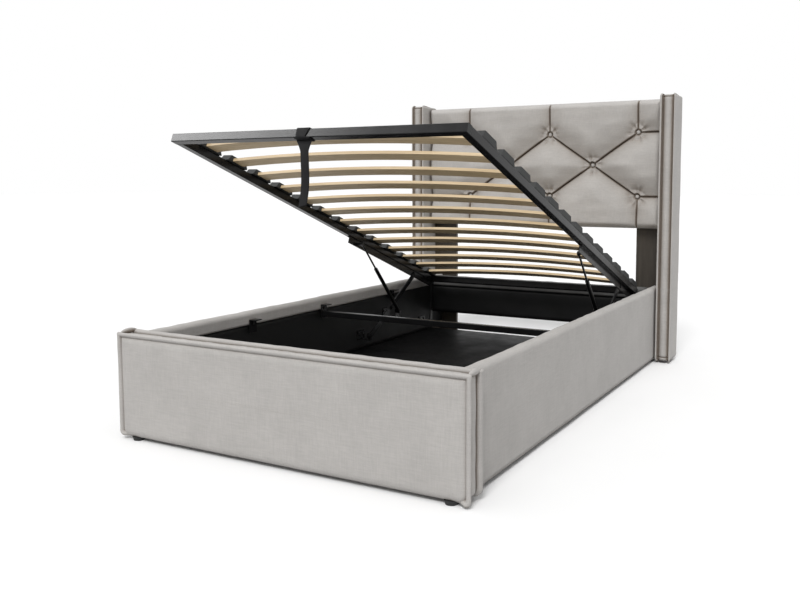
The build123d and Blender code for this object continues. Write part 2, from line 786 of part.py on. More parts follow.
def make_bolts():
    face = lining_x - seat_gap - plate_thickness
    rest_face = roll_inner_x - seat_gap - plate_thickness
    bolts = []
    drops = (pivot_plate_drop, pivot_plate_drop, strut_plate_drop)
    for (y, z), drop in zip((rear_base, arm_base, strut_base), drops):
        for side in (-1, 1):
            high = z - drop + base_plate_height - bolt_row
            bolts.append(rod_along_x(face - bolt_head_thickness, face, y + side * bolt_spacing / 2, high,
                                     bolt_head_radius))
    for from_foot in rest_places:
        high = platform_closed_top - tube_size - rest_bolt_drop
        bolts.append(rod_along_x(rest_face - bolt_head_thickness, rest_face, foot_y + from_foot, high,
                                 bolt_head_radius))
    pairs = [side for bolt in bolts for side in both_sides(bolt)]
    return {"frame_bolts": pairs}


# Pull strap

def make_strap():
    """Webbing looped round the foot tube, with its free tail hanging under it."""
    place = platform_place()
    outer = tube_size / 2 + strap_loop_gap + strap_thickness
    inner = tube_size / 2 + strap_loop_gap
    loop = Box(strap_width, 2 * outer, 2 * outer) - Box(strap_width + cut_overrun, 2 * inner, 2 * inner)
    loop = Pos(strap_x, -platform_length + tube_size / 2, -tube_size / 2) * loop
    tail_y, tail_top = on_platform(platform_length - tube_size / 2, tube_size / 2 + outer + strap_hinge_gap)
    tail = block(strap_x - strap_width / 2, strap_x + strap_width / 2, tail_y - strap_thickness / 2,
                 tail_y + strap_thickness / 2, tail_top - strap_drop, tail_top)
    return {"pull_strap_loop": place * loop, "pull_strap_tail": tail}


def build():
    nodes = {}
    for make in (make_footboard, make_side_rails, make_head_rail, make_linings, make_floor,
                 make_headboard, make_wings, make_platform, make_rear_links, make_lift_arms,
                 make_base_brackets, make_struts, make_cross_bar, make_bolts, make_strap):
        nodes.update(make())
    return nodes


def main():
    os.makedirs("parts", exist_ok=True)
    for name, shape in build().items():
        shapes = shape if isinstance(shape, list) else [shape]
        solids = solids_of(shapes)
        whole = solids[0] if len(solids) == 1 else Compound(children=solids)
        export_step(whole, "parts/%s.step" % name)


main()
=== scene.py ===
import bmesh
import bpy
import json
import math
import numpy as np
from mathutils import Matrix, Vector


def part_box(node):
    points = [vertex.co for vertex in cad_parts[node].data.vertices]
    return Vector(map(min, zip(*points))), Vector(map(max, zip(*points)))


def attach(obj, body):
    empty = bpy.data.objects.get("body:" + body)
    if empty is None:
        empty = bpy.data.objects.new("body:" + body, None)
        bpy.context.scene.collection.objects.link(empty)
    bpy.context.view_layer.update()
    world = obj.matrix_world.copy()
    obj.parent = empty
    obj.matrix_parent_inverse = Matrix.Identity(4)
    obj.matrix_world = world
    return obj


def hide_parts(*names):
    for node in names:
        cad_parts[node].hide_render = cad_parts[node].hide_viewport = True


# The bed stands on the floor. X runs across it, Y from the foot to the head, Z is up, in metres.

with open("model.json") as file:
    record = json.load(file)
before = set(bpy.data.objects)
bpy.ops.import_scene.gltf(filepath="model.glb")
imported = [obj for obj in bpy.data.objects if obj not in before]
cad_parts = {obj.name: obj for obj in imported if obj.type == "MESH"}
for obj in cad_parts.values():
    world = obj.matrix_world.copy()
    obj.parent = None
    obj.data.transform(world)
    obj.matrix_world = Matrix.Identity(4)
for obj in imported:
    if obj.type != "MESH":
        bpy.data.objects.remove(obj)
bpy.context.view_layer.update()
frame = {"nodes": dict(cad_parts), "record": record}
NODES = frame["nodes"]


# Sizes shared by several pieces

FOOT_Y = -1.140
FOOT_BACK_Y = -1.050
FOOT_HALF = 0.692
FOOT_LOW = 0.013
FOOT_HIGH = 0.380
RAIL_X = 0.658
RAIL_TOP = 0.376
RAIL_LOW = 0.019
HEAD_END_Y = 1.1217
OPEN_GAP_TOP = 0.169
PLAY = 0.0003
PANEL_HALF = 0.6662
PANEL_LOW = 0.668
PANEL_HIGH = 1.322
PANEL_BACK = 1.1097
PANEL_SLAB = 1.096
PILLOW_RISE = 0.056
TUFT_X = 0.058
TUFT_PITCH = 0.477
TUFT_ROWS = (0.8315, 0.995, 1.1585)
WING_X = 0.6665
WING_WIDTH = 0.075
WING_FRONT = 0.982
WING_DEPTH = 0.158
WING_LOW = 0.013
WING_HIGH = 1.333
LOW_SEAM = 0.0315
HIGH_SEAM = 1.322


# Mesh helpers

def mesh_piece(name, points, faces, body="root"):
    """Smooth mesh object that moves with a body."""
    mesh = bpy.data.meshes.new(name)
    mesh.from_pydata([tuple(p) for p in points], [], faces)
    mesh.validate()
    shell = bmesh.new()
    shell.from_mesh(mesh)
    bmesh.ops.recalc_face_normals(shell, faces=shell.faces)
    shell.to_mesh(mesh)
    shell.free()
    mesh.polygons.foreach_set("use_smooth", [True] * len(mesh.polygons))
    mesh.update()
    piece = bpy.data.objects.new(name, mesh)
    bpy.context.scene.collection.objects.link(piece)
    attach(piece, body)
    return piece


def ring_faces(count, around, loop):
    """Quads between neighbouring closed rings of points."""
    faces = []
    for i in range(count if loop else count - 1):
        a = i * around
        b = ((i + 1) % count) * around
        for j in range(around):
            k = (j + 1) % around
            faces.append((a + j, a + k, b + k, b + j))
    return faces


def loft(name, rings, body="root", loop=False):
    """Closed skin through a row of closed rings, with flat ends or run back to its start."""
    rings = np.asarray(rings, float)
    count, around = rings.shape[:2]
    faces = ring_faces(count, around, loop)
    if not loop:
        faces.append(tuple(range(around))[::-1])
        faces.append(tuple((count - 1) * around + j for j in range(around)))
    return mesh_piece(name, rings.reshape(-1, 3), faces, body)


def join(name, pieces):
    """One object from several mesh pieces."""
    points, faces = [], []
    for piece in pieces:
        start = len(points)
        points.extend(tuple(piece.matrix_world @ v.co) for v in piece.data.vertices)
        faces.extend(tuple(start + i for i in p.vertices) for p in piece.data.polygons)
        bpy.data.objects.remove(piece)
    return mesh_piece(name, points, faces)


def grid_border(columns, rows):
    """Numbers of the points round the edge of a grid, in order."""
    border = list(range(columns))
    border += [i * columns + columns - 1 for i in range(1, rows)]
    border += [(rows - 1) * columns + j for j in range(columns - 2, -1, -1)]
    border += [i * columns for i in range(rows - 2, 0, -1)]
    return border


def swell(points, size, seed, waves=10):
    """Smooth uneven swell, about -1 to 1, at each point; size is the distance between swells."""
    source = np.random.default_rng(seed)
    points = np.asarray(points, float)
    total = np.zeros(points.shape[:-1])
    for _ in range(waves):
        direction = source.normal(size=3)
        direction /= np.linalg.norm(direction)
        pitch = size * source.uniform(0.6, 1.7)
        total += np.sin(points @ direction * (2 * math.pi / pitch) + source.uniform(0, 2 * math.pi))
    return total / math.sqrt(waves)


def along_line(points, step):
    """The same closed outline with evenly spaced points, and the way across it at each."""
    ends = np.vstack([points, points[:1]])
    lengths = np.linalg.norm(np.diff(ends, axis=0), axis=1)
    marks = np.concatenate([[0], np.cumsum(lengths)])
    count = max(8, int(round(marks[-1] / step)))
    wanted = np.linspace(0, marks[-1], count, endpoint=False)
    even = np.stack([np.interp(wanted, marks, ends[:, i]) for i in range(2)], axis=1)
    tangent = np.roll(even, -1, axis=0) - np.roll(even, 1, axis=0)
    tangent /= np.linalg.norm(tangent, axis=1)[:, None]
    across = np.stack([tangent[:, 1], -tangent[:, 0]], axis=1)
    return even, across


def round_corner(corner, before, after, radius, steps=8):
    """Points of a rounded corner between two straight sides."""
    corner, before, after = (np.asarray(p, float) for p in (corner, before, after))
    to_before = (before - corner) / np.linalg.norm(before - corner)
    to_after = (after - corner) / np.linalg.norm(after - corner)
    half = math.acos(max(-1.0, min(1.0, float(to_before @ to_after)))) / 2
    reach = radius / math.tan(half)
    middle = corner + (to_before + to_after) / np.linalg.norm(to_before + to_after) * radius / math.sin(half)
    start = corner + to_before * reach - middle
    end = corner + to_after * reach - middle
    turn = math.atan2(start[0] * end[1] - start[1] * end[0], float(start @ end))
    points = []
    for angle in np.linspace(0, turn, steps + 1):
        c, s = math.cos(angle), math.sin(angle)
        points.append(middle + np.array([start[0] * c - start[1] * s, start[0] * s + start[1] * c]))
    return points


def outline(corners, radii, steps=8):
    """Closed outline with its own radius at each corner; zero keeps a corner sharp."""
    points = []
    for i, (corner, radius) in enumerate(zip(corners, radii)):
        if radius <= 0:
            points.append(np.asarray(corner, float))
        else:
            following = corners[(i + 1) % len(corners)]
            points.extend(round_corner(corner, corners[i - 1], following, radius, steps))
    return np.array(points)


# Materials

def new_material(name):
    """Material with an empty tree, its shader and a helper that adds nodes."""
    material = bpy.data.materials.new(name)
    material.use_nodes = True
    tree = material.node_tree
    shader = tree.nodes["Principled BSDF"]

    def add(kind, values=None, links=None, **settings):
        node = tree.nodes.new(kind)
        for key, value in settings.items():
            setattr(node, key, value)
        for key, value in (values or {}).items():
            node.inputs[key].default_value = value
        for key, output in (links or {}).items():
            tree.links.new(output, node.inputs[key])
        return node

    return material, tree, shader, add


def stretched_noise(add, coordinates, scale, detail=3.0, roughness=0.6, size=1.0):
    """Noise whose grain is finer along the axes with the larger scale."""
    place = add("ShaderNodeMapping", {"Scale": scale}, {"Vector": coordinates})
    return add("ShaderNodeTexNoise", {"Scale": size, "Detail": detail, "Roughness": roughness},
               {"Vector": place.outputs["Vector"]}).outputs["Fac"]


def two_colours(add, amount, dark, light, low=0.3, high=0.7):
    """Colour that runs from dark to light with the amount."""
    ramp = add("ShaderNodeValToRGB", links={"Fac": amount})
    ramp.color_ramp.elements[0].position = low
    ramp.color_ramp.elements[1].position = high
    ramp.color_ramp.elements[0].color = (*dark, 1.0)
    ramp.color_ramp.elements[1].color = (*light, 1.0)
    return ramp.outputs["Color"]


def blend_values(add, a, b, mode, amount=0.5):
    """Two colours laid over each other."""
    mix = add("ShaderNodeMix", data_type="RGBA", blend_type=mode)
    mix.inputs["Factor"].default_value = amount
    mix.id_data.links.new(a, mix.inputs["A"])
    mix.id_data.links.new(b, mix.inputs["B"])
    return mix.outputs["Result"]


def set_range(add, value, low, high):
    """Value moved from 0 to 1 into its own range."""
    place = add("ShaderNodeMapRange", {"From Min": 0.25, "From Max": 0.75, "To Min": low, "To Max": high},
                {"Value": value})
    return place.outputs["Result"]


def woven_fabric(name, colour, contrast=0.13, threads=270.0, bump=0.35, sheen=0.15):
    """Plain linen weave: crossing threads, slubs, a slow change of shade, and painted shade that darkens
    creases and hollows.
    """
    material, tree, shader, add = new_material(name)
    place = add("ShaderNodeTexCoord").outputs["Object"]
    upright = stretched_noise(add, place, (threads, threads, 22.0), 4.0, 0.65)
    level = stretched_noise(add, place, (20.0, 20.0, threads), 4.0, 0.65)
    fine = stretched_noise(add, place, (900.0, 900.0, 900.0), 1.0, 0.5)
    slow = stretched_noise(add, place, (7.0, 7.0, 7.0), 3.0, 0.55)
    weave = add("ShaderNodeMath", links={0: upright, 1: level}, operation="ADD").outputs[0]
    grain = add("ShaderNodeMath", {1: 0.4}, {0: fine}, operation="MULTIPLY").outputs[0]
    threads_all = add("ShaderNodeMath", links={0: weave, 1: grain}, operation="ADD").outputs[0]
    amount = add("ShaderNodeMapRange", {"From Min": 0.75, "From Max": 1.65},
                 {"Value": threads_all}).outputs[0]
    dark = tuple(c * (1 - contrast) for c in colour)
    light = tuple(min(1.0, c * (1 + contrast)) for c in colour)
    shade = two_colours(add, amount, dark, light, 0.0, 1.0)
    broad = two_colours(add, slow, (0.93, 0.93, 0.93), (1.0, 1.0, 1.0), 0.35, 0.65)
    cloth = blend_values(add, shade, broad, "MULTIPLY", 1.0)
    # Painted shade: ambient occlusion over short and long distances darkens creases, button wells and the
    # hollows between pillows with a warm brown tint.
    crease_occlusion = add("ShaderNodeAmbientOcclusion", {"Distance": 0.018}, samples=6).outputs["AO"]
    crease_painted_shade = two_colours(add, crease_occlusion, (0.50, 0.455, 0.42), (1.0, 1.0, 1.0), 0.20, 0.90)
    valley_occlusion = add("ShaderNodeAmbientOcclusion", {"Distance": 0.16}, samples=6, only_local=True).outputs["AO"]
    hollow_painted_shade = two_colours(add, valley_occlusion, (0.55, 0.487, 0.43), (1.0, 1.0, 1.0), 0.68, 0.98)
    shaded = blend_values(add, crease_painted_shade, hollow_painted_shade, "MULTIPLY", 1.0)
    tree.links.new(blend_values(add, cloth, shaded, "MULTIPLY", 1.0), shader.inputs["Base Color"])
    tree.links.new(set_range(add, upright, 0.78, 0.95), shader.inputs["Roughness"])
    raised = add("ShaderNodeBump", {"Strength": bump, "Distance": 0.0008}, {"Height": threads_all})
    tree.links.new(raised.outputs["Normal"], shader.inputs["Normal"])
    shader.inputs["Sheen Weight"].default_value = sheen
    shader.inputs["Sheen Roughness"].default_value = 0.45
    shader.inputs["Specular IOR Level"].default_value = 0.25
    return material


def lining_cloth(name, colour, gloss=0.12):
    """Black non-woven cloth with a soft gloss and faint pressed dots."""
    material, tree, shader, add = new_material(name)
    place = add("ShaderNodeTexCoord").outputs["Object"]
    fibres = stretched_noise(add, place, (420.0, 420.0, 420.0), 4.0, 0.7)
    slow = stretched_noise(add, place, (9.0, 9.0, 9.0), 3.0, 0.5)
    dark = tuple(c * 0.7 for c in colour)
    light = tuple(c * 1.5 for c in colour)
    both = blend_values(add, fibres, slow, "MIX", 0.5)
    tree.links.new(two_colours(add, both, dark, light), shader.inputs["Base Color"])
    tree.links.new(set_range(add, slow, 0.42, 0.62), shader.inputs["Roughness"])
    raised = add("ShaderNodeBump", {"Strength": 0.25, "Distance": 0.0006}, {"Height": fibres})
    tree.links.new(raised.outputs["Normal"], shader.inputs["Normal"])
    shader.inputs["Specular IOR Level"].default_value = gloss
    return material


def birch(name, dark, light):
    """Bent birch laminate with its grain along the slat."""
    material, tree, shader, add = new_material(name)
    place = add("ShaderNodeTexCoord").outputs["Object"]
    own = add("ShaderNodeObjectInfo").outputs["Random"]
    moved = add("ShaderNodeMapping", {}, {"Vector": place})
    shift = add("ShaderNodeCombineXYZ", {}, {"X": own, "Y": own, "Z": own})
    far = add("ShaderNodeVectorMath", {"Scale": 9.0}, {"Vector": shift.outputs[0]}, operation="SCALE")
    tree.links.new(far.outputs[0], moved.inputs["Location"])
    grain = stretched_noise(add, moved.outputs[0], (5.0, 150.0, 150.0), 5.0, 0.6)
    pores = stretched_noise(add, moved.outputs[0], (30.0, 900.0, 900.0), 2.0, 0.5)
    slow = stretched_noise(add, moved.outputs[0], (2.5, 12.0, 12.0), 2.0, 0.5)
    wood = two_colours(add, grain, dark, light, 0.3, 0.68)
    fine = two_colours(add, pores, (0.86, 0.83, 0.79), (1.0, 1.0, 1.0), 0.3, 0.5)
    broad = two_colours(add, slow, (0.86, 0.84, 0.80), (1.0, 1.0, 1.0), 0.3, 0.7)
    colour = blend_values(add, wood, fine, "MULTIPLY", 0.8)
    tree.links.new(blend_values(add, colour, broad, "MULTIPLY", 1.0), shader.inputs["Base Color"])
    tree.links.new(set_range(add, pores, 0.42, 0.58), shader.inputs["Roughness"])
    raised = add("ShaderNodeBump", {"Strength": 0.2, "Distance": 0.0004}, {"Height": grain})
    tree.links.new(raised.outputs["Normal"], shader.inputs["Normal"])
    shader.inputs["Specular IOR Level"].default_value = 0.22
    shader.inputs["Coat Weight"].default_value = 0.04
    shader.inputs["Coat Roughness"].default_value = 0.35
    return material


def coated_steel(name, colour, roughness=0.42, metallic=0.0, peel=0.12, gloss=0.5):
    """Powder coat with a fine orange peel and slightly rubbed patches."""
    material, tree, shader, add = new_material(name)
    place = add("ShaderNodeTexCoord").outputs["Object"]
    pebble = stretched_noise(add, place, (520.0, 520.0, 520.0), 2.0, 0.5)
    slow = stretched_noise(add, place, (14.0, 14.0, 14.0), 4.0, 0.6)
    dark = tuple(c * 0.82 for c in colour)
    light = tuple(c * 1.22 for c in colour)
    tree.links.new(two_colours(add, slow, dark, light), shader.inputs["Base Color"])
    tree.links.new(set_range(add, slow, roughness - 0.03, roughness + 0.04), shader.inputs["Roughness"])
    raised = add("ShaderNodeBump", {"Strength": peel, "Distance": 0.0004}, {"Height": pebble})
    tree.links.new(raised.outputs["Normal"], shader.inputs["Normal"])
    shader.inputs["Metallic"].default_value = metallic
    shader.inputs["Specular IOR Level"].default_value = gloss
    return material


def drawn_steel(name, colour, roughness=0.28):
    """Ground rod with fine marks round it."""
    material, tree, shader, add = new_material(name)
    place = add("ShaderNodeTexCoord").outputs["Object"]
    marks = stretched_noise(add, place, (160.0, 900.0, 900.0), 2.0, 0.6)
    slow = stretched_noise(add, place, (40.0, 40.0, 40.0), 2.0, 0.5)
    dark = tuple(c * 0.85 for c in colour)
    light = tuple(c * 1.15 for c in colour)
    tree.links.new(two_colours(add, marks, dark, light), shader.inputs["Base Color"])
    tree.links.new(set_range(add, slow, roughness - 0.06, roughness + 0.08), shader.inputs["Roughness"])
    raised = add("ShaderNodeBump", {"Strength": 0.08, "Distance": 0.0002}, {"Height": marks})
    tree.links.new(raised.outputs["Normal"], shader.inputs["Normal"])
    shader.inputs["Metallic"].default_value = 0.9
    return material


def timber_board(name, dark, light, roughness=0.6, grain_scale=(60.0, 60.0, 4.0)):
    """Plain board with its grain along the axis of the smallest scale."""
    material, tree, shader, add = new_material(name)
    place = add("ShaderNodeTexCoord").outputs["Object"]
    grain = stretched_noise(add, place, grain_scale, 6.0, 0.62)
    fibres = stretched_noise(add, place, tuple(s * 6 for s in grain_scale), 2.0, 0.5)
    wood = two_colours(add, grain, dark, light, 0.32, 0.68)
    fine = two_colours(add, fibres, (0.8, 0.8, 0.8), (1.0, 1.0, 1.0), 0.3, 0.6)
    tree.links.new(blend_values(add, wood, fine, "MULTIPLY", 0.8), shader.inputs["Base Color"])
    tree.links.new(set_range(add, grain, roughness - 0.08, roughness + 0.1), shader.inputs["Roughness"])
    raised = add("ShaderNodeBump", {"Strength": 0.2, "Distance": 0.0005}, {"Height": grain})
    tree.links.new(raised.outputs["Normal"], shader.inputs["Normal"])
    return material


def webbing(name, colour):
    """Ribbed woven strap: ribs across it and a herringbone break."""
    material, tree, shader, add = new_material(name)
    place = add("ShaderNodeTexCoord").outputs["Object"]
    ribs = add("ShaderNodeTexWave", {"Scale": 130.0, "Distortion": 0.6, "Detail": 1.0}, {"Vector": place},
               bands_direction="Z")
    cross = add("ShaderNodeTexWave", {"Scale": 90.0, "Distortion": 0.4}, {"Vector": place},
                bands_direction="X")
    slow = stretched_noise(add, place, (40.0, 40.0, 40.0), 3.0, 0.6)
    both = blend_values(add, ribs.outputs["Fac"], cross.outputs["Fac"], "MIX", 0.5)
    mixed = blend_values(add, both, slow, "MIX", 0.35)
    dark = tuple(c * 0.55 for c in colour)
    light = tuple(c * 1.6 for c in colour)
    tree.links.new(two_colours(add, mixed, dark, light, 0.25, 0.75), shader.inputs["Base Color"])
    tree.links.new(set_range(add, slow, 0.6, 0.8), shader.inputs["Roughness"])
    raised = add("ShaderNodeBump", {"Strength": 0.5, "Distance": 0.0008}, {"Height": both})
    tree.links.new(raised.outputs["Normal"], shader.inputs["Normal"])
    shader.inputs["Specular IOR Level"].default_value = 0.15
    return material


FABRIC = woven_fabric("linen_fabric", (0.475, 0.457, 0.438))
LINING = lining_cloth("black_lining_cloth", (0.0075, 0.0075, 0.0077), 0.25)
BIRCH = birch("birch_laminate", (0.56, 0.425, 0.255), (0.74, 0.590, 0.385))
STEEL = coated_steel("frame_powder_coat", (0.010, 0.010, 0.0105), 0.22, peel=0.03, gloss=0.16)
CYLINDER = coated_steel("strut_paint", (0.006, 0.006, 0.0065), 0.32, gloss=0.2)
ROD = drawn_steel("strut_rod_steel", (0.035, 0.035, 0.037))
BOLT = coated_steel("bolt_black_zinc", (0.015, 0.015, 0.016), 0.35, metallic=0.3)
PLASTIC = coated_steel("moulded_plastic", (0.026, 0.027, 0.027), 0.60, peel=0.2, gloss=0.3)
DARK_BOARD = timber_board("dark_leg_board", (0.024, 0.018, 0.012), (0.046, 0.036, 0.025), 0.55)
INNER_WOOD = timber_board("bare_timber", (0.36, 0.25, 0.14), (0.55, 0.40, 0.25), 0.7, (4.0, 60.0, 60.0))
FLOOR_BOARD = lining_cloth("storage_floor_board", (0.004, 0.004, 0.0042))
# Painted shade: the head rail's grey cover gets a dark cloth colour that stands in for the shade of the
# platform above it.
RAIL_PAINTED_SHADE_CLOTH = lining_cloth("rail_cloth_painted_shade", (0.080, 0.079, 0.077), 0.2)
STRAP = webbing("strap_webbing", (0.009, 0.009, 0.0095))

SLOT_MATERIALS = {
    "grey_fabric": FABRIC, "black_lining": LINING, "dark_board": DARK_BOARD, "inner_wood": INNER_WOOD,
    "slat_wood": BIRCH, "frame_paint": STEEL, "cylinder_paint": CYLINDER, "rod_steel": ROD,
    "bolt_metal": BOLT, "black_plastic": PLASTIC, "strap_webbing": STRAP,
}


def paint(piece, material):
    """One material on the whole piece."""
    piece.data.materials.clear()
    piece.data.materials.append(material)


# The storage floor is darker than the linings; timber is dark too, except inside the footboard
for part in frame["record"]["subparts"]:
    material = SLOT_MATERIALS[part["material_slot"]]
    if part["node"].startswith("floor_panel"):
        material = FLOOR_BOARD
    if part["material_slot"] == "inner_wood" and part["node"] != "footboard_core":
        material = DARK_BOARD
    paint(NODES[part["node"]], material)


def upholstery(piece, nodes):
    """Covered, padded piece that stands for its CAD nodes."""
    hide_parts(*nodes)
    paint(piece, FABRIC)


# Tufted headboard panel

def tuft_points():
    """Places of the eight buttons: three low, three high, two between."""
    low, middle, high = TUFT_ROWS
    outer = [(TUFT_X + side * TUFT_PITCH, z) for z in (low, high) for side in (-1, 0, 1)]
    inner = [(TUFT_X + side * TUFT_PITCH / 2, middle) for side in (-1, 1)]
    return outer + inner


def pleat_lines():
    """Creases between the pillows: start, end, and whether the end is at the panel's edge."""
    low, middle, high = TUFT_ROWS
    columns = [TUFT_X + side * TUFT_PITCH for side in (-1, 0, 1)]
    lines = []
    for knot, pair in ((TUFT_X - TUFT_PITCH / 2, columns[:2]), (TUFT_X + TUFT_PITCH / 2, columns[1:])):
        for x in pair:
            for z in (low, high):
                lines.append(((x, z), (knot, middle), False))
    for x in columns:
        lines.append(((x, low), (x, PANEL_LOW), True))
        lines.append(((x, high), (x, PANEL_HIGH), True))
    for z in (low, high):
        lines.append(((columns[0], z), (-PANEL_HALF, z), True))
        lines.append(((columns[2], z), (PANEL_HALF, z), True))
    return lines


def pillow_height(x, z):
    """How far the padding stands in front of its board."""
    reach = 0.138
    crease_floor, edge_crest, inner_crest = 0.007, 0.012, 0.008
    seam_half, seam_depth = 0.0026, 0.0150
    lip_half, lip_height, lip_reach = 0.003, 0.0042, 0.016
    well_reach, well_floor, well_extra = 0.048, 0.0125, 0.004
    fold_height, fold_place, fold_half = 0.0020, 0.040, 0.020
    moat_start, moat_width = 0.0130, 0.0070
    least = 0.0006
    power = 3.6
    sag = np.zeros_like(x)
    detail = np.zeros_like(x)
    for (x0, z0), (x1, z1), edge in pleat_lines():
        dx, dz = x1 - x0, z1 - z0
        length = math.hypot(dx, dz)
        t = np.clip(((x - x0) * dx + (z - z0) * dz) / length ** 2, 0, 1)
        away = np.hypot(x - x0 - t * dx, z - z0 - t * dz)
        crest = edge_crest * t ** 0.6 if edge else inner_crest * np.sin(math.pi * t) ** 0.8
        floor = crease_floor + crest
        share = np.clip(away / reach, 0, 1)
        rise = np.sin(share * math.pi / 2) ** 0.95
        sag += ((PILLOW_RISE - floor) * (1 - rise)) ** power
        above = ((z - z0) * abs(dx) - (x - x0) * dz * math.copysign(1, dx)) / length
        if abs(dx) < 1e-6:
            above = (x - x0) * 0.4
        seam = np.exp(-(away / seam_half) ** 2)
        lip = np.tanh(above / lip_half) * np.exp(-away / lip_reach)
        detail += -seam_depth * seam + lip_height * lip
    for bx, bz in tuft_points():
        away = np.hypot(x - bx, z - bz)
        sag += ((PILLOW_RISE + well_extra) * np.exp(-(away / well_reach) ** 1.15)) ** power
    height = PILLOW_RISE - np.minimum(sag ** (1 / power), PILLOW_RISE - well_floor) + detail
    for index, (bx, bz) in enumerate(tuft_points()):
        away = np.hypot(x - bx, z - bz)
        angle = np.arctan2(z - bz, x - bx)
        folds = np.cos(angle * 7 + index * 1.3) + 0.6 * np.cos(angle * 11 + index * 2.1)
        height += fold_height * folds * np.exp(-((away - fold_place) / fold_half) ** 2)
        wall = np.clip((away - moat_start) / moat_width, 0, 1)
        height *= wall * wall * (3 - 2 * wall)
    return np.maximum(height, least)


def make_headboard_pad():
    """Buttoned padding as one closed skin with a rolled edge."""
    step = 0.0026
    edge_roll, edge_fade, unevenness = 0.034, 0.05, 0.0007
    columns = np.linspace(-PANEL_HALF, PANEL_HALF, int(2 * PANEL_HALF / step))
    rows = np.linspace(PANEL_LOW, PANEL_HIGH, int((PANEL_HIGH - PANEL_LOW) / step))
    x, z = np.meshgrid(columns, rows)
    edge = np.minimum(np.minimum(x + PANEL_HALF, PANEL_HALF - x), np.minimum(z - PANEL_LOW, PANEL_HIGH - z))
    side = np.clip(edge / edge_roll, 0, 1)
    roll = np.sqrt(np.clip(1 - (1 - side) ** 2.2, 0, 1))
    flat = np.stack([x, np.zeros_like(x), z], axis=-1)
    uneven = unevenness * swell(flat, 0.09, 5)
    height = pillow_height(x, z) + uneven * np.clip(edge / edge_fade, 0, 1)
    y = PANEL_BACK - roll * (PANEL_BACK - PANEL_SLAB + height)
    grid = np.stack([x, y, z], axis=-1)
    count_z, count_x = x.shape
    faces = []
    for i in range(count_z - 1):
        for j in range(count_x - 1):
            a = i * count_x + j
            faces.append((a, a + 1, a + count_x + 1, a + count_x))
    faces.append(tuple(grid_border(count_x, count_z)[::-1]))
    piece = mesh_piece("headboard_pillows", grid.reshape(-1, 3), faces)
    upholstery(piece, ["tufted_headboard_pad"])


def make_buttons():
    """Covered buttons, drawn in at the pleats, with gathers round the rim."""
    button_radius, button_rise, crown_radius = 0.0108, 0.0095, 0.0004
    gathers, gather_depth = 9, 0.025
    around = 40
    domes = []
    for index, (bx, bz) in enumerate(tuft_points()):
        rings = []
        for level in np.linspace(0, 1, 12):
            angle = level * math.pi / 2
            radius = button_radius * math.cos(angle) ** 0.6 + crown_radius
            depth = button_rise * math.sin(angle) ** 1.1
            turn = np.arange(around) * 2 * math.pi / around
            gather = 1 + gather_depth * np.cos(turn * gathers + index) * (1 - level)
            x = bx + radius * gather * np.cos(turn)
            z = bz + radius * gather * np.sin(turn)
            rings.append(np.stack([x, np.full(around, PANEL_SLAB - depth), z], 1))
        domes.append(loft("button_dome", rings))
    piece = join("covered_buttons", domes)
    upholstery(piece, ["tuft_buttons"])


# Footboard

FOOT_OUTLINE = (FOOT_HALF, FOOT_LOW, FOOT_HIGH)


def outline_ring(inset, corner_low, corner_high, y, bulge=0.0, ears=0.0, seed=0, base=FOOT_OUTLINE):
    """Ring of points round the footboard at an inset, the same number of points at any inset."""
    ear_size, band = 0.016, 0.03
    half, low, high = base[0] - inset, base[1] + inset, base[2] - inset
    corners = [(-half, low), (half, low), (half, high), (-half, high)]
    radii = [max(r - inset, 0.0012) for r in (corner_low, corner_low, corner_high, corner_high)]
    points = []
    for i, (corner, radius) in enumerate(zip(corners, radii)):
        bend = round_corner(corner, corners[i - 1], corners[(i + 1) % 4], radius, 8)
        following = round_corner(corners[(i + 1) % 4], corner, corners[(i + 2) % 4], radii[(i + 1) % 4], 8)
        points.extend(bend)
        count = 150 if i % 2 == 0 else 40
        for t in np.linspace(0, 1, count + 1)[1:-1]:
            points.append(bend[-1] * (1 - t) + following[0] * t)
    ring = np.array([(p[0], y, p[1]) for p in points])
    centre = np.array([0.0, y, (FOOT_LOW + FOOT_HIGH) / 2])
    reach = bulge * swell(ring, 0.07, seed)
    for side in (-1, 1):
        for level in (FOOT_LOW, FOOT_HIGH):
            away = np.hypot(ring[:, 0] - side * FOOT_HALF, ring[:, 2] - level)
            reach = reach + ears * np.exp(-(away / ear_size) ** 2)
    outwards = ring - centre
    outwards[:, 0] = np.sign(outwards[:, 0]) * (np.abs(ring[:, 0]) > half - band)
    outwards[:, 2] = np.sign(outwards[:, 2]) * (np.abs(ring[:, 2] - centre[2]) > (high - low) / 2 - band)
    outwards[:, 1] = 0.0
    length = np.linalg.norm(outwards, axis=1)
    outwards[length > 0] /= length[length > 0][:, None]
    return ring + outwards * reach[:, None]


def flange(name, section, corner_low, corner_high, ears, seed, hidden=0.0):
    """Stuffed flange round the footboard; hidden is how far its lower run lies back behind the pad."""
    outer_band, unevenness, full_depth = 0.007, 0.0004, 0.018
    run_height, run_end, run_fade = 0.045, 0.020, 0.02
    tip_drop, tip_reach, tip_inset = 0.0095, 0.026, 0.008
    proud = min(inset for inset, y in section)
    rings = []
    for inset, y in section:
        outer = inset < proud + outer_band
        ring = outline_ring(inset, corner_low, corner_high, y, unevenness * outer, ears * outer, seed)
        if hidden > 0:
            below = np.clip((FOOT_LOW + run_height - ring[:, 2]) / run_fade, 0, 1)
            below *= np.clip((FOOT_HALF - run_end - np.abs(ring[:, 0])) / run_fade, 0, 1)
            back = FOOT_Y + hidden + (ring[:, 1] - FOOT_Y) * (1 - hidden / full_depth)
            ring[:, 1] += below * (back - ring[:, 1])
            away = np.hypot(ring[:, 0] - FOOT_HALF + tip_inset, ring[:, 2] - FOOT_LOW)
            ring[:, 2] -= tip_drop * np.exp(-(away / tip_reach) ** 2)
        rings.append(ring)
    return loft(name, rings, loop=True)


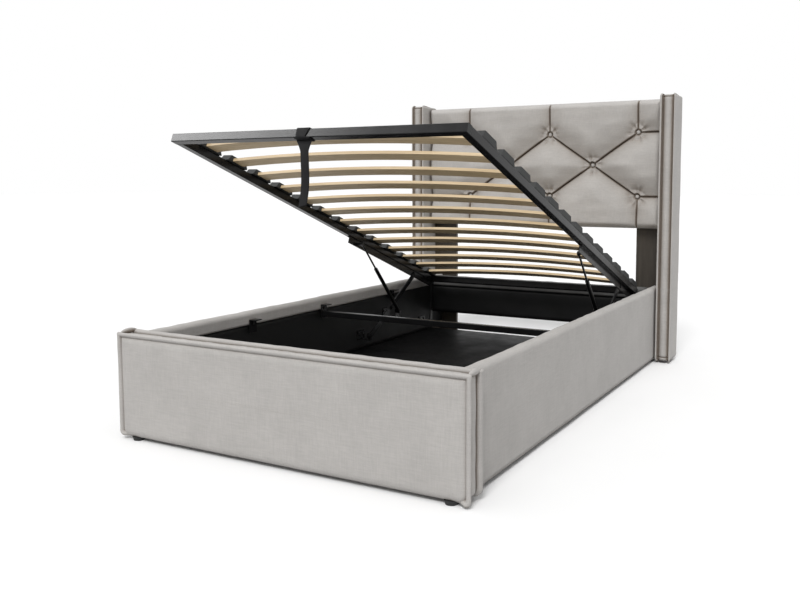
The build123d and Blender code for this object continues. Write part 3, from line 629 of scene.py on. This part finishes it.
def make_front_pad():
    """Padded face of the footboard; it covers the lower flange."""
    base = (FOOT_HALF - 0.0130, FOOT_LOW + 0.0010, FOOT_HIGH - 0.0130)
    corner_low, corner_high, edge_roll = 0.026, 0.008, 0.026
    rim_depth, rise, slack, slack_fade = 0.0145, 0.0125, 0.0006, 0.05
    rings = [outline_ring(0.010, corner_low, corner_high, FOOT_Y + 0.0176, base=base),
             outline_ring(0.0, corner_low, corner_high, FOOT_Y + 0.0150, base=base)]
    insets = [0.0004, 0.0014, 0.003, 0.0055, 0.009, 0.013, 0.018, 0.024, 0.031, 0.040]
    insets += [0.052, 0.066, 0.082, 0.10, 0.12, 0.14, 0.155, 0.166, 0.1725]
    for inset in insets:
        share = min(inset / edge_roll, 1.0)
        dome = math.sqrt(1 - (1 - share) ** 2)
        y = FOOT_Y + rim_depth - rise * dome
        ring = outline_ring(inset, corner_low, corner_high, y, base=base)
        flat = ring * (1.0, 0.0, 1.0)
        fade = min(inset / slack_fade, 1.0)
        ring[:, 1] -= slack * swell(flat, 0.35, 11) * fade
        ring[:, 1] -= slack * swell(flat * (1.0, 1.0, 0.2), 0.05, 12) * share * (1 - share) * 4
        rings.append(ring)
    pad = loft("front_pad", rings)
    upholstery(pad, ["footboard_front_pad"])


def end_fold(side):
    """Folded corner of the boxing, a spindle from the front flange to the rear one."""
    start, length = -1.131, 0.076
    half_width, half_height = 0.0082, 0.0100
    inset, level, lift = 0.0095, 0.3765, 0.0030
    rings = []
    for t in np.linspace(0, 1, 25):
        y = start + t * length
        swollen = math.sin(math.pi * min(max(t, 0.02), 0.98)) ** 0.55
        ring = []
        for turn in np.arange(16) * 2 * math.pi / 16:
            x = FOOT_HALF - inset + half_width * swollen * math.cos(turn)
            z = level + lift * swollen + half_height * swollen * math.sin(turn)
            ring.append((side * x, y, z))
        rings.append(ring)
    return loft("end_fold", rings)


def make_footboard():
    """Front flange, rear flange, pad and the boxing between; sections give inset and depth."""
    ridge = [(0.0185, 0.0130), (0.0172, 0.0090), (0.0150, 0.0050), (0.0120, 0.0020), (0.0085, 0.0003),
             (0.0055, 0.0000), (0.0028, 0.0012), (0.0009, 0.0034), (0.0, 0.0066), (0.0008, 0.0098),
             (0.0030, 0.0120), (0.0060, 0.0132), (0.0072, 0.0145), (0.0070, 0.0180), (0.0185, 0.0180)]
    ridge = [(inset, FOOT_Y + y) for inset, y in ridge]
    front = flange("front_flange", ridge, 0.020, 0.008, 0.0025, 71, 0.013)
    upholstery(front, ["footboard_front_welt"])
    roll = [(0.0182, 0.0256), (0.0085, 0.0258), (0.0040, 0.0245), (0.0012, 0.0210), (0.0, 0.0150),
            (0.0, 0.0090), (0.0012, 0.0045), (0.0040, 0.0015), (0.0090, 0.0004), (0.0182, 0.0002)]
    roll = [(inset, FOOT_BACK_Y - y) for inset, y in roll]
    rear = flange("rear_flange", roll, 0.026, 0.007, 0.0015, 72)
    upholstery(rear, ["footboard_rear_welt"])
    make_front_pad()

    # Boxing strip and back, between the two flanges
    places = [(-1.1219, 0.0110), (-1.1210, 0.0088), (-1.1100, 0.0080), (-1.0980, 0.0082), (-1.0900, 0.0086),
              (-1.0865, 0.0100), (-1.0850, 0.0180), (-1.0530, 0.0180), (-1.0508, 0.0180), (-1.0500, 0.0190)]
    slack, slack_start, slack_end = 0.0007, -1.115, -1.08
    rings = []
    for y, inset in places:
        bulge = slack if slack_start < y < slack_end else 0.0
        rings.append(outline_ring(inset, 0.026, 0.010, y, bulge, 0.0, 73))
    cover = join("footboard_boxing", [loft("boxing", rings), end_fold(-1), end_fold(1)])
    upholstery(cover, ["footboard_cover"])


# Padded rails

def rail_profile():
    """Section of a rail cover, inwards and up, and how many of its points lie on the outer skin."""
    outer_board, inner_board, board_drop = 0.0127, 0.0333, 0.0157
    roll, inner_roll, inner_face, wrap = 0.018, 0.027, 0.045, 0.054
    points = [(0.0, RAIL_LOW)]
    for z in np.linspace(RAIL_LOW + 0.012, RAIL_TOP - roll, 30):
        points.append((0.0, z))
    for centre, angles in ((roll, np.linspace(0.12, math.pi / 2, 9)),
                           (inner_roll, np.linspace(math.pi / 2, math.pi - 0.05, 9))):
        for angle in angles:
            z = RAIL_TOP - roll + roll * math.sin(angle)
            points.append((centre - roll * math.cos(angle), z))
    for z in np.linspace(RAIL_TOP - 0.020, RAIL_TOP - wrap, 6):
        points.append((inner_face, z))
    skin = len(points)
    points.append((inner_board, RAIL_TOP - wrap))
    points.append((inner_board, RAIL_TOP - board_drop))
    points.append((outer_board, RAIL_TOP - board_drop))
    points.append((outer_board, RAIL_LOW))
    return np.array(points), skin


def make_side_rails():
    """Covered side rails, with slack swells along the roll."""
    profile, skin = rail_profile()
    start, end = FOOT_BACK_Y + PLAY, HEAD_END_Y
    slack, pucker, most = 0.0007, 0.0006, 0.0014
    step = 0.011
    places = np.linspace(start, end, int((end - start) / step))
    shape = np.gradient(profile[:skin], axis=0)
    shape /= np.linalg.norm(shape, axis=1)[:, None]
    outwards = np.stack([-shape[:, 1], shape[:, 0]], axis=1)
    for name, side in (("right", 1), ("left", -1)):
        rings = []
        for y in places:
            points = np.array([(side * (RAIL_X - a), y, z) for a, z in profile])
            here = points[:skin]
            high = np.clip((profile[:skin, 1] - 0.30) / 0.06, 0, 1)
            move = slack * swell(here * (1, 1, 0.6), 0.30, 21)
            move += pucker * swell(here * (1, 1, 0.25), 0.055, 22) * high
            move = np.minimum(move, most)
            points[:skin, 0] -= side * outwards[:, 0] * move
            points[:skin, 2] += outwards[:, 1] * move
            rings.append(points)
        piece = loft(name + "_rail_upholstery", rings)
        upholstery(piece, [name + "_side_rail_cover"])


def make_head_rail():
    """Covered rail across the head end, above the open gap, its cover painted dark as painted shade from the
    platform above.
    """
    profile, skin = rail_profile()
    half, outside = 0.6127, 1.034
    slack, roll_start = 0.0006, 0.33
    first = int(np.argmax(profile[:skin, 1] >= OPEN_GAP_TOP))
    shown = [(0.0, OPEN_GAP_TOP)] + [tuple(p) for p in profile[first:-1]]
    shown.append((profile[-1, 0], OPEN_GAP_TOP))
    rings = []
    for x in np.linspace(-half, half, 90):
        points = np.array([(x, outside - a, z) for a, z in shown])
        points[:, 2] += slack * swell(points, 0.08, 31) * (points[:, 2] > roll_start)
        rings.append(points)
    piece = loft("head_rail_upholstery", rings)
    upholstery(piece, ["head_rail_cover"])
    # Painted shade: the dark cloth colour stands in for the platform's shadow on this rail.
    paint(piece, RAIL_PAINTED_SHADE_CLOTH)


# Head wings

def wing_section():
    """Outline of a wing seen from above: across from its inner side, and back from its front."""
    width, depth = WING_WIDTH, WING_DEPTH
    inner_welt, outer_welt = 0.0050, 0.0032
    points = []
    for angle in np.linspace(math.pi, 0.1 * math.pi, 11):
        points.append((inner_welt + inner_welt * math.cos(angle), inner_welt - inner_welt * math.sin(angle)))
    points.append((0.0100, 0.0090))
    points.append((0.0110, 0.0170))
    points.append((0.0150, 0.0175))
    for t in np.linspace(0, 1, 27)[1:-1]:
        across = 0.0150 + t * (width - 0.0240)
        points.append((across, 0.0150 - 0.0148 * math.sin(math.pi * t) ** 0.75))
    points.append((width - 0.0090, 0.0125))
    points.append((width - 0.0080, 0.0125))
    points.append((width - 0.0070, 0.0075))
    for angle in np.linspace(0.9 * math.pi, 0, 11):
        across = width - outer_welt + outer_welt * math.cos(angle)
        points.append((across, outer_welt - 1.2 * outer_welt * math.sin(angle)))
    for back in (0.03, 0.07, 0.11, 0.145):
        points.append((width, back))
    points += round_corner((width, depth), (width, 0.0), (0.0, depth), 0.006, 5)
    points += round_corner((0.0, depth), (width, depth), (0.0, 0.0), 0.006, 5)
    for back in (0.145, 0.11, 0.07, 0.03):
        points.append((0.0, back))
    return np.array(points)


def wing_ring(section, side, z, seam, end, roll):
    """Wing outline at a height: drawn in at the stitched seam, rounded over at its end."""
    seam_depth, seam_half, side_share = 0.0060, 0.0022, 0.12
    wave_height, side_most, front_band = 0.0006, 0.0004, 0.02
    corner_rise = 0.0070
    middle = np.array([WING_WIDTH / 2, WING_DEPTH / 2])
    reach = abs(end - seam)
    share = np.clip(1 - abs(z - end) / (0.9 * reach), 0, 1)
    shrink = 1 - 0.20 * (1 - math.sqrt(max(0.0, 1 - share ** 2)))
    flat = middle + (section - middle) * shrink
    drawn = seam_depth * math.exp(-((z - seam) / seam_half) ** 2)
    flat[:, 1] += np.where(roll, drawn, side_share * drawn)
    ring = np.array([(side * (WING_X + a), WING_FRONT + b, z) for a, b in flat])
    wave = wave_height * swell(ring, 0.16, 41)
    ring[:, 1] += np.where(section[:, 1] < front_band, wave, 0.0)
    ring[:, 0] += side * np.where(section[:, 1] > front_band, np.minimum(wave, side_most), 0.0)
    corner = np.exp(-((section[:, 1] - 0.004) / 0.008) ** 2)
    corner *= np.exp(-(np.minimum(section[:, 0], WING_WIDTH - section[:, 0]) / 0.010) ** 2)
    ring[:, 2] += corner_rise * corner * share * np.sign(end - seam)
    return ring


def make_wings():
    """Upper and lower covers of both wings, which meet at a seam above the rails."""
    upper = [0.3721, 0.3726] + list(np.linspace(0.378, 1.310, 70))
    upper += [1.315, 1.319, 1.3215, 1.3240, 1.3270, 1.3300, 1.3320, WING_HIGH]
    lower = [WING_LOW, 0.0140, 0.0160, 0.020, 0.026, 0.0295, LOW_SEAM, 0.0335, 0.037]
    lower += list(np.linspace(0.045, 0.366, 27)) + [0.3714, 0.3719]
    section = wing_section()
    across, back = section[:, 0], section[:, 1]
    roll_start, roll_end, roll_depth = 0.0124, 0.0660, 0.03
    roll = (across > roll_start) & (across < roll_end) & (back < roll_depth)
    lowers = []
    for name, side in (("right", 1), ("left", -1)):
        rings = [wing_ring(section, side, z, HIGH_SEAM, WING_HIGH, roll) for z in upper]
        piece = loft(name + "_wing_upholstery", rings)
        upholstery(piece, [name + "_wing_upper_cover"])
        rings = [wing_ring(section, side, z, LOW_SEAM, WING_LOW, roll) for z in lower]
        lowers.append(loft("wing_lower", rings))
    piece = join("lower_wing_upholstery", lowers)
    upholstery(piece, ["wing_lower_covers"])


# Black cloth

def cloth_panel(name, origin, u, v, thickness, seed, amount=0.0006, size=0.25, cells=60):
    """Thin cloth panel from a corner, with slack swells in its face."""
    origin, u, v = (np.asarray(p, float) for p in (origin, u, v))
    normal = np.cross(u, v)
    normal /= np.linalg.norm(normal)
    wide, tall = np.linalg.norm(u), np.linalg.norm(v)
    hem = 0.03
    count_u = max(6, int(cells * min(1.0, wide)))
    count_v = max(6, int(cells * min(1.0, tall)))
    a, b = np.meshgrid(np.linspace(0, 1, count_u), np.linspace(0, 1, count_v))
    base = origin + a[..., None] * u + b[..., None] * v
    from_edge = np.minimum(np.minimum(a, 1 - a) * wide, np.minimum(b, 1 - b) * tall)
    fade = np.clip(from_edge / hem, 0, 1)
    move = amount * swell(base, size, seed) * fade
    front = base + (thickness / 2 + move)[..., None] * normal
    rear = base + (-thickness / 2 + move)[..., None] * normal
    points = np.vstack([front.reshape(-1, 3), rear.reshape(-1, 3)])
    total = count_u * count_v
    faces = []
    for i in range(count_v - 1):
        for j in range(count_u - 1):
            k = i * count_u + j
            faces.append((k, k + 1, k + count_u + 1, k + count_u))
            faces.append((total + k, total + k + count_u, total + k + count_u + 1, total + k + 1))
    border = grid_border(count_u, count_v)
    for k, p in enumerate(border):
        q = border[(k + 1) % len(border)]
        faces.append((q, p, total + p, total + q))
    return mesh_piece(name, points, faces)


def make_linings():
    """Linings stapled inside the four sides of the box, and the dust cloth behind the headboard."""
    low, high = 0.0723, 0.3217
    start, end = FOOT_BACK_Y + PLAY, HEAD_END_Y
    thickness = 0.0030
    side_x, across_x, head_y = 0.6233, 0.6217, 0.99920
    width = 2 * across_x
    first = None
    pieces = [
        ("right_lining", (side_x, start, low), (0, end - start, 0), (0, 0, high - low)),
        ("left_lining", (-side_x, end, low), (0, start - end, 0), (0, 0, high - low)),
        ("foot_lining", (across_x, start + thickness / 2, low), (-width, 0, 0), (0, 0, high - low)),
        ("head_lining", (-across_x, head_y, OPEN_GAP_TOP), (width, 0, 0), (0, 0, high - OPEN_GAP_TOP)),
    ]
    for index, (name, origin, u, v) in enumerate(pieces):
        piece = cloth_panel(name, origin, u, v, thickness, 51 + index, 0.0005)
        paint(piece, LINING)
        first = first or piece
    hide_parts("storage_linings")
    inner, dust_y = 0.5259, 1.1231
    dust = cloth_panel("dust_cloth", (inner, dust_y, PANEL_LOW), (-2 * inner, 0, 0),
                       (0, 0, PANEL_HIGH - PANEL_LOW), 0.0014, 61, 0.0003)
    paint(dust, LINING)
    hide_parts("headboard_dust_cover")


# Pull strap

def make_strap_loop():
    """Webbing hitched round the tilted foot tube, spread where it is pulled round."""
    low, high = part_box("pull_strap_loop")
    middle = (low + high) / 2
    tilt = math.radians(20.4)
    reach, bend, step = 0.0168, 0.004, 0.003
    spread, hidden_share = 0.031, 0.05
    left_low, left_growth = 0.022, 0.003
    right_low, right_growth = 0.013, 0.014
    skin = ((-1, 0.0015), (-0.9, 0.0021), (0, 0.0019), (0.9, 0.0021), (1, 0.0015),
            (1, -0.0014), (0, -0.0014), (-1, -0.0014))
    corners = [(-reach, -reach), (reach, -reach), (reach, reach), (-reach, reach)]
    line, across = along_line(outline(corners, [bend] * 4, 4), step)
    rings = []
    for point, out in zip(line, across):
        share = np.clip((point[1] + reach) / (2 * reach), 0, 1)
        hidden = point[0] > 0 or share < hidden_share
        left = spread if hidden else left_low + left_growth * share
        right = spread if hidden else right_low + right_growth * share
        ring = []
        for side, lift in skin:
            p = point + out * lift
            y = p[0] * math.cos(tilt) + p[1] * math.sin(tilt)
            z = -p[0] * math.sin(tilt) + p[1] * math.cos(tilt)
            ring.append((middle.x + side * (right if side > 0 else left), middle.y + y, middle.z + z))
        rings.append(ring)
    loop = loft("strap_loop", rings, "platform", loop=True)
    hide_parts("pull_strap_loop")
    paint(loop, STRAP)


def make_strap_tail():
    """Free end of the strap, flared where it leaves the loop."""
    low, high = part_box("pull_strap_tail")
    half_width, flare, flare_share = 0.0162, 0.0158, 0.17
    bow_depth, lowest_slant = 0.003, 0.004
    lean_start, lean_fall, lean_swing = 0.002, 0.012, 0.007
    edge = ((-1, 0.0009), (-0.88, 0.0015), (0, 0.0013), (0.88, 0.0015), (1, 0.0009),
            (1, -0.0009), (0.88, -0.0015), (0, -0.0013), (-0.88, -0.0015), (-1, -0.0009))
    rings = []
    centre_x = (low.x + high.x) / 2
    centre_y = (low.y + high.y) / 2
    for z in np.linspace(low.z, high.z, 50):
        down = (high.z - z) / (high.z - low.z)
        half = half_width + flare * max(0.0, 1 - down / flare_share) ** 1.3
        bow = bow_depth * math.sin(2 * math.pi * down)
        lean = lean_start - lean_fall * down + lean_swing * math.sin(math.pi * down)
        slant = lowest_slant * down ** 8
        rings.append([(centre_x + lean + a * half, centre_y + b - bow, z + slant * a) for a, b in edge])
    tail = loft("strap_tail_webbing", rings, "strap_tail")
    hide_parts("pull_strap_tail")
    paint(tail, STRAP)


make_headboard_pad()
make_buttons()
make_footboard()
make_side_rails()
make_head_rail()
make_wings()
make_linings()
make_strap_loop()
make_strap_tail()


# Floor, light and camera

def seen_directly(tree):
    """One for what the camera, a reflection or clear glass sees, zero for scattered light."""
    path = tree.nodes.new("ShaderNodeLightPath")
    seen = path.outputs["Is Camera Ray"]
    for kind in ("Is Glossy Ray", "Is Transmission Ray"):
        either = tree.nodes.new("ShaderNodeMath")
        either.operation = "MAXIMUM"
        tree.links.new(seen, either.inputs[0])
        tree.links.new(path.outputs[kind], either.inputs[1])
        seen = either.outputs["Value"]
    return seen


def make_stage():
    """Floor that looks white and runs out of sight, and gives back less light than it shows."""
    shown_dark, shown_light = (0.93, 0.93, 0.93), (0.95, 0.95, 0.95)
    scattered_dark, scattered_light = (0.52, 0.52, 0.52), (0.54, 0.54, 0.54)
    material, tree, shader, add = new_material("white_floor")
    place = add("ShaderNodeTexCoord").outputs["Object"]
    slow = stretched_noise(add, place, (1.5, 1.5, 1.5), 3.0, 0.5)
    shown = two_colours(add, slow, shown_dark, shown_light)
    scattered = two_colours(add, slow, scattered_dark, scattered_light)
    mix = add("ShaderNodeMix", data_type="RGBA")
    tree.links.new(seen_directly(tree), mix.inputs["Factor"])
    tree.links.new(scattered, mix.inputs["A"])
    tree.links.new(shown, mix.inputs["B"])
    tree.links.new(mix.outputs["Result"], shader.inputs["Base Color"])
    shader.inputs["Roughness"].default_value = 0.9
    shader.inputs["Specular IOR Level"].default_value = 0.1
    mesh = bpy.data.meshes.new("floor")
    half = 60
    corners = [(-half, -half, 0), (half, -half, 0), (half, half, 0), (-half, half, 0)]
    mesh.from_pydata(corners, [], [(0, 1, 2, 3)])
    floor = bpy.data.objects.new("floor", mesh)
    bpy.context.scene.collection.objects.link(floor)
    paint(floor, material)


def make_world(level):
    """Even white surroundings; level is their light, and the camera sees them plain white."""
    world = bpy.data.worlds.new("white_room")
    bpy.context.scene.world = world
    world.use_nodes = True
    tree = world.node_tree
    back = tree.nodes["Background"]
    back.inputs["Color"].default_value = (1.0, 1.0, 1.0, 1.0)
    place = tree.nodes.new("ShaderNodeMapRange")
    place.inputs["To Min"].default_value = level
    place.inputs["To Max"].default_value = 1.0
    tree.links.new(seen_directly(tree), place.inputs["Value"])
    tree.links.new(place.outputs["Result"], back.inputs["Strength"])


def sun_light(name, toward, spread, strength, sheen_only=False):
    """Distant light whose soft disc is spread degrees wide; sheen_only adds gloss and no plain light."""
    data = bpy.data.lights.new(name, "SUN")
    data.angle = math.radians(spread)
    data.energy = strength
    lamp = bpy.data.objects.new(name, data)
    bpy.context.scene.collection.objects.link(lamp)
    lamp.rotation_mode = "QUATERNION"
    lamp.rotation_quaternion = Vector(toward).to_track_quat("-Z", "Y")
    lamp.visible_diffuse = not sheen_only


def make_camera():
    """Camera in front of the bed's foot, to its right."""
    yaw, pitch = 0.4903, 0.0864
    data = bpy.data.cameras.new("camera")
    data.sensor_width = 36.0
    data.lens = 37.14
    data.shift_x = -0.0592
    data.shift_y = -0.0562
    camera = bpy.data.objects.new("camera", data)
    bpy.context.scene.collection.objects.link(camera)
    camera.location = (1.6735, -3.1111, 0.8982)
    ahead = Vector((-math.sin(yaw) * math.cos(pitch), math.cos(yaw) * math.cos(pitch), -math.sin(pitch)))
    camera.rotation_mode = "QUATERNION"
    camera.rotation_quaternion = ahead.to_track_quat("-Z", "Y")
    bpy.context.scene.camera = camera


make_stage()
make_world(level=0.58)
sun_light("key_light", toward=(-0.22, 0.76, -0.88), spread=22.0, strength=1.85)
sun_light("side_light", toward=(1.6, 0.9, -1.2), spread=22.0, strength=2.3, sheen_only=True)
sun_light("top_light", toward=(0.0, 0.15, -1.0), spread=60.0, strength=0.36)
make_camera()
bpy.context.scene.view_settings.view_transform = "Standard"
